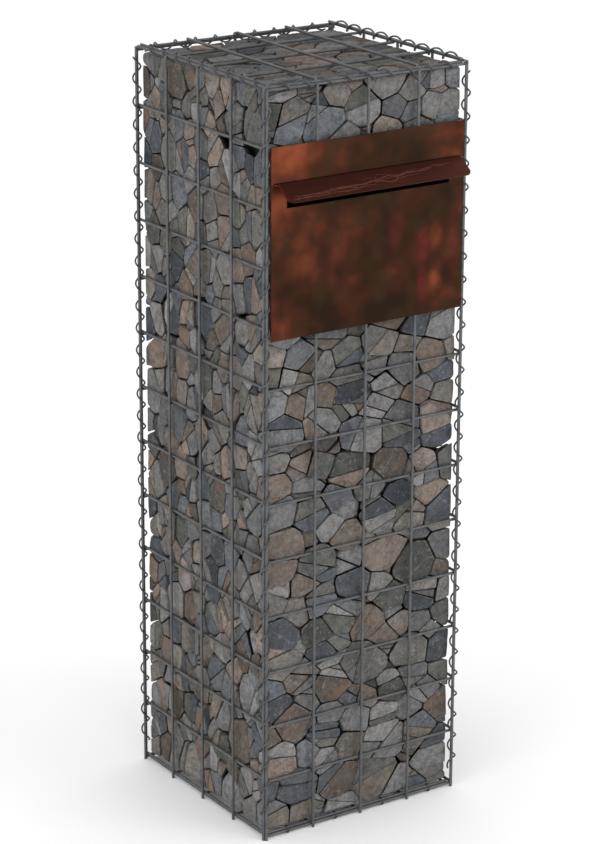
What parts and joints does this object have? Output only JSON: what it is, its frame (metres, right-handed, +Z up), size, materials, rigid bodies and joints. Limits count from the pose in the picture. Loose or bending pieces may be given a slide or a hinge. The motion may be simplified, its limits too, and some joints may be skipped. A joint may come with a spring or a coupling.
{
  "type": "stone-filled wire cage letterbox column",
  "caption": "Free-standing square column of welded wire mesh filled with broken stone, with a copper-coloured letterbox front, tilting slot flap and locking rear door.",
  "frame": {"origin": "middle of the column's footprint, on the ground under the lowest wire ends", "axes": "+Z up the column; -Y out of the letter slot; +X to the right of someone facing the slot"},
  "size_m": [0.4128, 0.4858, 1.3232],
  "materials": {
    "galvanised_wire": "galvanised, satin",
    "spiral_wire": "galvanised, satin",
    "clip_wire": "bright zinc",
    "copper_plate": "glossy heat-tinted copper brown",
    "copper_flap": "glossy dark red brown with streaks",
    "hinge_steel": "bright",
    "fixings": "bright zinc",
    "box_steel": "matt dark grey",
    "frame_steel": "glossy heat-tinted copper brown",
    "door_steel": "glossy heat-tinted copper brown",
    "seal_foam": "matt",
    "lock_metal": "polished",
    "key_metal": "bright",
    "rubble_front": "rough broken stone",
    "rubble_left": "rough broken stone",
    "rubble_right": "rough broken stone",
    "rubble_back": "rough broken stone",
    "rubble_top": "rough broken stone",
    "rubble_bottom": "rough broken stone",
    "rubble_core": "rough broken stone"
  },
  "bodies": {
    "cage": {"front_edge_wires": "galvanised_wire", "front_lower_mesh": "galvanised_wire", "front_upper_mesh": "galvanised_wire", "back_edge_wires": "galvanised_wire", "back_lower_mesh": "galvanised_wire", "back_upper_mesh": "galvanised_wire", "left_mesh": "galvanised_wire", "right_mesh": "galvanised_wire", "top_mesh": "galvanised_wire", "bottom_mesh": "galvanised_wire", "front_spirals": "spiral_wire", "back_spirals": "spiral_wire", "top_spirals": "spiral_wire", "base_clips": "clip_wire", "front_plate": "copper_plate", "flap_rod": "hinge_steel", "push_nuts": "fixings", "mail_box": "box_steel", "plate_studs": "fixings", "box_nuts": "fixings", "rear_screws": "fixings", "rear_frame": "frame_steel", "door_seal": "seal_foam", "hinge_fixed": "hinge_steel", "hinge_pins": "hinge_steel", "front_stones": "rubble_front", "left_stones": "rubble_left", "right_stones": "rubble_right", "back_stones": "rubble_back", "top_stones": "rubble_top", "bottom_stones": "rubble_bottom", "core_stones": "rubble_core"},
    "flap": {"flap": "copper_flap"},
    "door": {"rear_door": "door_steel", "hinge_moving": "hinge_steel", "lock_barrel": "lock_metal", "lock_nut": "lock_metal"},
    "lock": {"lock_plug": "lock_metal", "lock_cam": "fixings", "cam_screw": "fixings", "key": "key_metal"}
  },
  "joints": [
    {"name": "flap_hinge", "type": "hinge", "parent": "cage", "child": "flap", "pos_m": [0, -0.20745, 1.155], "axis": [-1, 0, 0], "range_deg": [-56, 96]},
    {"name": "rear_door_hinge", "type": "hinge", "parent": "cage", "child": "door", "pos_m": [0.178, 0.211, 1.055], "axis": [0, 0, -1], "range_deg": [0, 110]},
    {"name": "lock_turn", "type": "hinge", "parent": "door", "child": "lock", "pos_m": [-0.129, 0.21, 1.0555], "axis": [0, -1, 0], "range_deg": [0, 90]}
  ]
}
